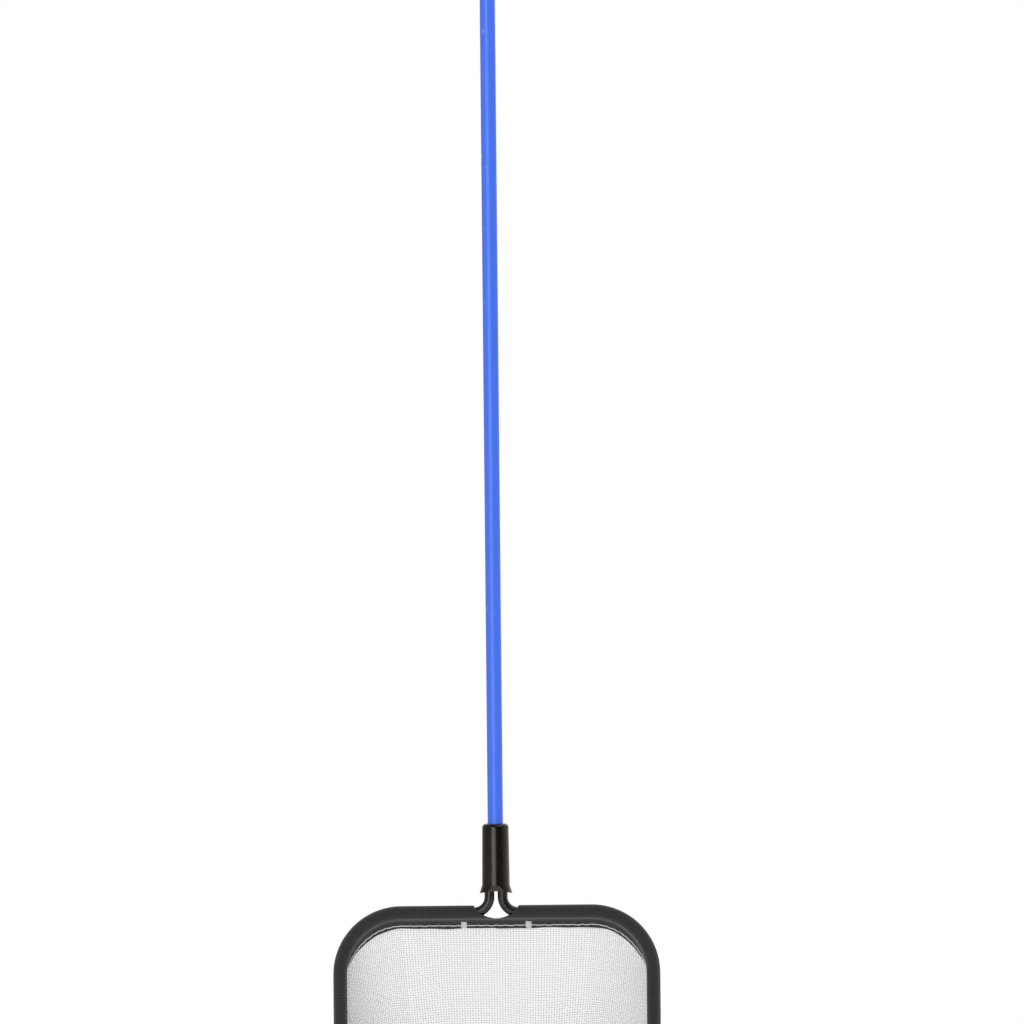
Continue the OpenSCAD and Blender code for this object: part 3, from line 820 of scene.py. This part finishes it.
# Tacks: their middle from the top middle of the hoop, width, rows, and where they start and end
# below the wire. They stand prouder than the stitches and dive less
tack_x = 8.4
tack_w = 1.5
tack_rows = 13
tack_top = 2.5
tack_low = 4.55
tack_rise_share = 1.3
tack_dive_share = 2.4


def stitch_height(t, dive=dive_share):
    """Height of a stitch over the cloth at a share t of its length: level in the middle, and down
    into its holes with the fourth power of the way from the middle."""
    return stitch_rise * (1 - dive * np.abs(2 * t - 1) ** 4)


def laid(far, down, rise, side):
    """Threads on one face of the hem, at lengths round the hoop and places down the tape, and so
    high over its cloth."""
    level = side * (flap_y + tape_t / 2 + rise)
    at = hem.at(far, down, level)
    return threads(at, hem.at(far, down, level + side) - at, sewing_r, thread_sides)


def stitch_row(side):
    """A row of stitches on one face of the hem. Each rises from its hole, runs level and dives
    into the next hole, and strays down the tape by a sine of its number times half a sine wave."""
    number = np.arange(stitch_count)[:, None]
    t = np.linspace(0, 1, stitch_steps + 1)
    down = stitch_q + stray_h * np.sin(stray_turn * number) * np.sin(np.pi * t)
    return laid((number + t) * stitch_pitch, down, stitch_height(t), side)


def tack(x, side):
    """Dense zigzag across one end of the tape: threads that run to and fro over tack_w, and fall
    evenly from tack_top to tack_low."""
    t = np.linspace(0, 1, short_steps + 1)
    row = np.arange(tack_rows)[:, None]
    down = tack_top + (tack_low - tack_top) * (row + t) / tack_rows
    swing = (t - 0.5) * tack_w * np.where(row % 2 == 0, 1, -1)
    return laid(x + swing, down, tack_rise_share * stitch_height(t, tack_dive_share), side)


hem_stitches = joined("hem_stitches", [stitch_row(side) for side in (1, -1)], white_thread)
tacks = [tack(x, side) for x in (tack_x, hoop_len - tack_x) for side in (1, -1)]
bar_tacks = joined("bar_tacks", tacks, white_thread)


# Overlocked seam

# Width and thickness of the seam, and where it starts at the side of the hem
seam_w = 3
seam_t = 1.2
seam_start = 2 - (hem_w + tape_gap + seam_t / 4) / bag_side

# At each end it narrows to a share of its width over a length
seam_run_in = 7
seam_end_share = 0.4

# Stations along it, dense ones to measure it, the step into a panel that finds its directions, and
# the stations on each side that even them out
seam_stations = 1200
dense_stations = 6000
seam_inset = 0.8
blur_steps = 20

# Strip of the two cut edges: thickness, spare width, how far it reaches in past the seam line, the
# power of its section, its uneven free edge as [height, radians in a millimetre, start], rings
# along and points around, and the millimetres that each point around stands for in the UV
strip_t = 0.62
strip_spare = 0.3
strip_tuck = 0.45
strip_power = 0.7
free_waves = [(0.12, 1.9, 0), (0.06, 4.3, 1)]
strip_rings = 420
strip_around = 28
strip_uv = 0.3

# Overlock: length of a stitch, radius of its threads, steps and slant of a looper thread, how far
# the second looper lags, and how high it lies on the strip
overlock_pitch = 1.45
looper_r = 0.15
looper_steps = 14
looper_slant_share = 0.16
looper_lag = 0.08
looper_lift_share = 0.7

# The needle line behind the seam line, and how loopers round the free edge and sink at the line
needle_v = 0.25
edge_round = 0.35
needle_ease = 0.3
needle_sink_share = 0.6


def seam_line(u, inset=0.0, side=BACK):
    """The line where the panels meet. u is 2 at the hoop's right, 1 where the straight side of the
    cut ends, 0 at the tip and -2 at the hoop's left. inset steps into a panel."""
    s = np.clip(u, -1, 1)
    q = np.where(np.abs(u) > 1, bag_side * (2 - np.abs(u)),
                 bag_side + (bag_depth - inset - bag_side) * cut_round(s))
    return bare_cloth(s * (panel_half - inset), q, side)


class Seam:
    """The seam's frame at even lengths along it: its place, the way to the rear, away from both
    panels, and the way across, from the front panel to the back one."""

    def __init__(self):
        u = seam_start * np.sin(np.linspace(1, -1, dense_stations) * math.pi / 2)
        way = np.pad(np.cumsum(np.linalg.norm(np.diff(seam_line(u), axis=0), axis=1)), (1, 0))
        self.total = way[-1]
        self.length = np.linspace(0, self.total, seam_stations)
        u = np.interp(self.length, way, u)
        self.place = seam_line(u)
        run = unit(np.gradient(self.place, axis=0))
        to_back = unit(seam_line(u, seam_inset, BACK) - self.place)
        to_front = unit(seam_line(u, seam_inset, FRONT) - self.place)
        self.rear = self.even(unit(np.cross(run, to_back - to_front)))
        self.across = unit(np.cross(self.rear, run))

    def even(self, v):
        """Running mean along the seam, with a smooth bell of weights."""
        bell = np.hanning(2 * blur_steps + 1)
        padded = np.pad(v, ((blur_steps, blur_steps), (0, 0)), mode="edge")
        return unit(stack(*(np.convolve(padded[:, k], bell / bell.sum(), "valid") for k in range(3))))

    def at(self, length, rear, across):
        """Points at a length along the seam, so far to the rear and across."""
        place, way_rear, way_across = [
            between(length, self.length, v) for v in (self.place, self.rear, self.across)]
        return place + np.asarray(rear)[..., None] * way_rear + np.asarray(across)[..., None] * way_across


seam = Seam()


def seam_width(far):
    """Width of the seam at a length along it. From each end, where the seam runs out under the tape,
    it rises to seam_w with three times the square of the way less twice its cube."""
    left = np.clip(np.minimum(far, seam.total - far) / seam_run_in, 0, 1)
    return seam_w * (seam_end_share + (1 - seam_end_share) * left * left * (3 - 2 * left))


def rounded(wave_value):
    """A sine or cosine raised to strip_power, with its sign kept, for a superellipse."""
    return np.sign(wave_value) * np.abs(wave_value) ** strip_power


def seam_strip():
    """The two cut edges laid together behind the seam line: a flat superellipse carried along the
    seam, with two low sines in its width, which leave its free edge a little uneven."""
    far = np.linspace(0, seam.total, strip_rings)[:, None]
    turn = 2 * np.pi * np.arange(strip_around) / strip_around
    free = sum(height * np.sin(far * rate + start) for height, rate, start in free_waves)
    half_w = (seam_width(far) + strip_spare + free) / 2
    rear = half_w - strip_tuck + half_w * rounded(np.cos(turn))
    across = strip_t / 2 * rounded(np.sin(turn))
    points = seam.at(far + 0 * rear, rear, across + 0 * rear)
    index = np.arange(strip_rings * strip_around).reshape(strip_rings, strip_around)
    a = index[:-1]
    b = index[1:]
    walls = np.stack([a, b, np.roll(b, -1, 1), np.roll(a, -1, 1)], axis=-1).reshape(-1, 4)
    ends = np.stack([index[0], index[-1][::-1]])
    u = np.broadcast_to(far[:-1], a.shape)
    v = np.broadcast_to(np.arange(strip_around) * strip_uv, a.shape)
    step = seam.total / (strip_rings - 1)
    corners = stack(np.stack([u, u + step, u + step, u], -1),
                    np.stack([v, v, v + strip_uv, v + strip_uv], -1))
    return piece("seam_edges", points, [walls, ends],
                 [corners.reshape(-1, 4, 2), np.zeros(ends.shape + (2,))], seam_cloth)


def looper(side, stitches, face):
    """A looper thread on one face of the seam: once a stitch it swings from the needle line to the
    free edge and back, as a cosine, and its slant is a sine. Its height over the strip falls to
    nothing at the free edge, as a quarter circle, and sinks in a line at the needle line."""
    t = np.arange(stitches * looper_steps + 1) / looper_steps
    swing = np.cos(2 * np.pi * (t + looper_lag * (side < 0)))
    wide = seam_width(t * overlock_pitch)
    rear = needle_v + (wide - needle_v) * (0.5 + 0.5 * swing)
    edge = np.clip((rear - wide + edge_round) / edge_round, 0, 1)
    low = np.clip((needle_v + needle_ease - rear) / needle_ease, 0, 1)
    across = side * face * np.sqrt(1 - edge ** 2) * (1 - needle_sink_share * low)
    slant = looper_slant_share * side * np.sin(2 * np.pi * t)
    far = np.clip((t + slant) * overlock_pitch, 0, seam.total)
    at = seam.at(far, rear, across)
    middle = seam.at(far, wide / 2, 0 * t)
    return threads(at[None], (at - middle)[None], looper_r, thread_sides)


def needle_thread(stitches, face):
    """The needle thread, straight along the seam in short stitches with the height of the hem's."""
    t = np.linspace(0, 1, short_steps + 1)
    far = (np.arange(stitches)[:, None] + t) * overlock_pitch
    rear = needle_v + 0 * far
    across = face + stitch_height(t) + 0 * far
    at = seam.at(far, rear, across)
    return threads(at, seam.at(far, rear, across + 1) - at, looper_r, thread_sides)


def overlock():
    """The overlock's three threads: a looper on each face and the needle thread."""
    stitches = math.floor(seam.total / overlock_pitch)
    face = strip_t / 2 + looper_lift_share * looper_r
    parts = [looper(side, stitches, face) for side in (1, -1)] + [needle_thread(stitches, face)]
    return joined("overlock_threads", parts, white_thread)


seam_edges = seam_strip()
overlock_threads = overlock()
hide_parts("bag_seam")


# Floor, light and camera

# Camera: how far in front it stands, the width that it sees, where it looks, its roll, the width of
# its sensor, and the nearest and farthest that it sees, in metres
camera_gap = 1200
view_w = 266
view_x = 5.12
view_z = -173.1
view_roll = math.radians(-0.56)
sensor_w = 36
clip_near = 0.05
clip_far = 20

# Floor: gap below the bag, radius, steps round it, where it fades to white, in metres from its
# middle, and its grey and glow
floor_gap = 12
floor_r = 700
floor_steps = 96
floor_fade = (0.1, 0.32)
floor_grey = (0.84, 0.84, 0.84, 1)
floor_glow = 0.22

# Lamps: the key light's turn from straight in front, and each one's place, size and radiance
key_turn = math.radians(-18)
key_gap = 1700
key_place = (key_gap * math.sin(key_turn), -key_gap * math.cos(key_turn), view_z)
key_size = (900, 1500)
key_radiance = 2.9
top_place = (500, -300, 900)
top_size = (900, 900)
top_radiance = 0.9

# Room: even light on the object, and what its reflections see. Directions run from -1 to 1, and
# each wall has a range of them and the levels at its ends. The rear one leans to the right
even_light = 0.64
left_wall = (-0.5, 0.05), (0.38, 0)
rear_wall = (-0.35, 0.95), (0, 1)
rear_wall_lean = 0.5
warm_white = (1, 0.86, 0.76)


def ray_is(tree, *kinds):
    """1 for rays of these kinds, else 0."""
    path = node(tree, "ShaderNodeLightPath")
    value = path.outputs[kinds[0]]
    for kind in kinds[1:]:
        value = reckon(tree, "MAXIMUM", value, path.outputs[kind])
    return value


def white_floor():
    """Matt white floor that shows the object's shadow, and fades to pure white away from it."""
    made, tree, shader = finish("white_floor", {
        "Roughness": 0.9, "Base Color": floor_grey, "Emission Color": (1, 1, 1, 1),
        "Emission Strength": floor_glow})
    where = node(tree, "ShaderNodeTexCoord").outputs["Object"]
    away = node(tree, "ShaderNodeVectorMath", {0: where, 1: (1, 1, 0)}, operation="MULTIPLY")
    far = node(tree, "ShaderNodeVectorMath", {0: away.outputs[0]}, operation="LENGTH").outputs["Value"]
    fade = spread(tree, far, floor_fade, (0, 1))
    seen = ray_is(tree, "Is Camera Ray", "Is Glossy Ray", "Is Transmission Ray")
    white = node(tree, "ShaderNodeEmission", {"Color": (1, 1, 1, 1), "Strength": 1.0})
    both = node(tree, "ShaderNodeMixShader", {
        0: reckon(tree, "MULTIPLY", fade, seen), 1: shader.outputs[0], 2: white.outputs[0]})
    tree.links.new(both.outputs[0], tree.nodes["Material Output"].inputs["Surface"])
    return made


def floor_disc():
    """A flat round floor below the bag."""
    turn = 2 * np.pi * np.arange(floor_steps) / floor_steps
    low = cad_box[0].z / MM - floor_gap
    rim = stack(floor_r * np.cos(turn), floor_r * np.sin(turn), low)
    floor = shape("floor", rim, [np.arange(floor_steps)[None]])
    floor.data.materials.append(white_floor())


def surroundings():
    """White surroundings for the camera and a plain even light on the object. Its reflections show a
    warmer room: dark in front, paler at the left, and lit from the right round to the rear."""
    world = bpy.data.worlds.new("surroundings")
    world.use_nodes = True
    tree = world.node_tree
    where = node(tree, "ShaderNodeTexCoord").outputs["Generated"]
    way = node(tree, "ShaderNodeSeparateXYZ", {"Vector": where}).outputs
    left = spread(tree, way["X"], *left_wall)
    aside = reckon(tree, "MULTIPLY", way["X"], rear_wall_lean)
    rear = spread(tree, reckon(tree, "ADD", way["Y"], aside), *rear_wall)
    mirrored = ray_is(tree, "Is Glossy Ray")
    level = mix_values(tree, mirrored, even_light, reckon(tree, "MAXIMUM", left, rear))
    seen = ray_is(tree, "Is Camera Ray", "Is Transmission Ray")
    drive(tree, tree.nodes["Background"], {
        "Strength": mix_values(tree, seen, level, 1.0),
        "Color": mix_colours(tree, mirrored, (1, 1, 1), warm_white)})
    bpy.context.scene.world = world


def soft_lamp(name, place, size, radiance):
    """A soft box that faces the middle of the object, with its radiance in white units. A lamp's
    power is its radiance times its area times pi."""
    light = bpy.data.lights.new(name, "AREA")
    light.shape = "RECTANGLE"
    light.size, light.size_y = [side * MM for side in size]
    light.energy = radiance * light.size * light.size_y * math.pi
    lamp = bpy.data.objects.new(name, light)
    lamp.location = [c * MM for c in place]
    aim = (np.array([0, 0, view_z]) - place) * MM
    lamp.rotation_euler = Vector(aim).to_track_quat("-Z", "Z").to_euler()
    lamp.visible_camera = False
    bpy.context.scene.collection.objects.link(lamp)


def camera():
    """A long lens level with the object, rolled by the handle's lean."""
    lens = bpy.data.cameras.new("camera")
    lens.sensor_width = sensor_w
    lens.lens = sensor_w * camera_gap / view_w
    lens.clip_start = clip_near
    lens.clip_end = clip_far
    cam = bpy.data.objects.new("camera", lens)
    cam.location = (view_x * MM, -camera_gap * MM, view_z * MM)
    cam.rotation_euler = (math.pi / 2, 0, 0)
    cam.rotation_euler.rotate_axis("Z", view_roll)
    bpy.context.scene.collection.objects.link(cam)
    bpy.context.scene.camera = cam


floor_disc()
surroundings()
soft_lamp("key_light", key_place, key_size, key_radiance)
soft_lamp("top_light", top_place, top_size, top_radiance)
camera()
bpy.context.scene.view_settings.view_transform = "Standard"
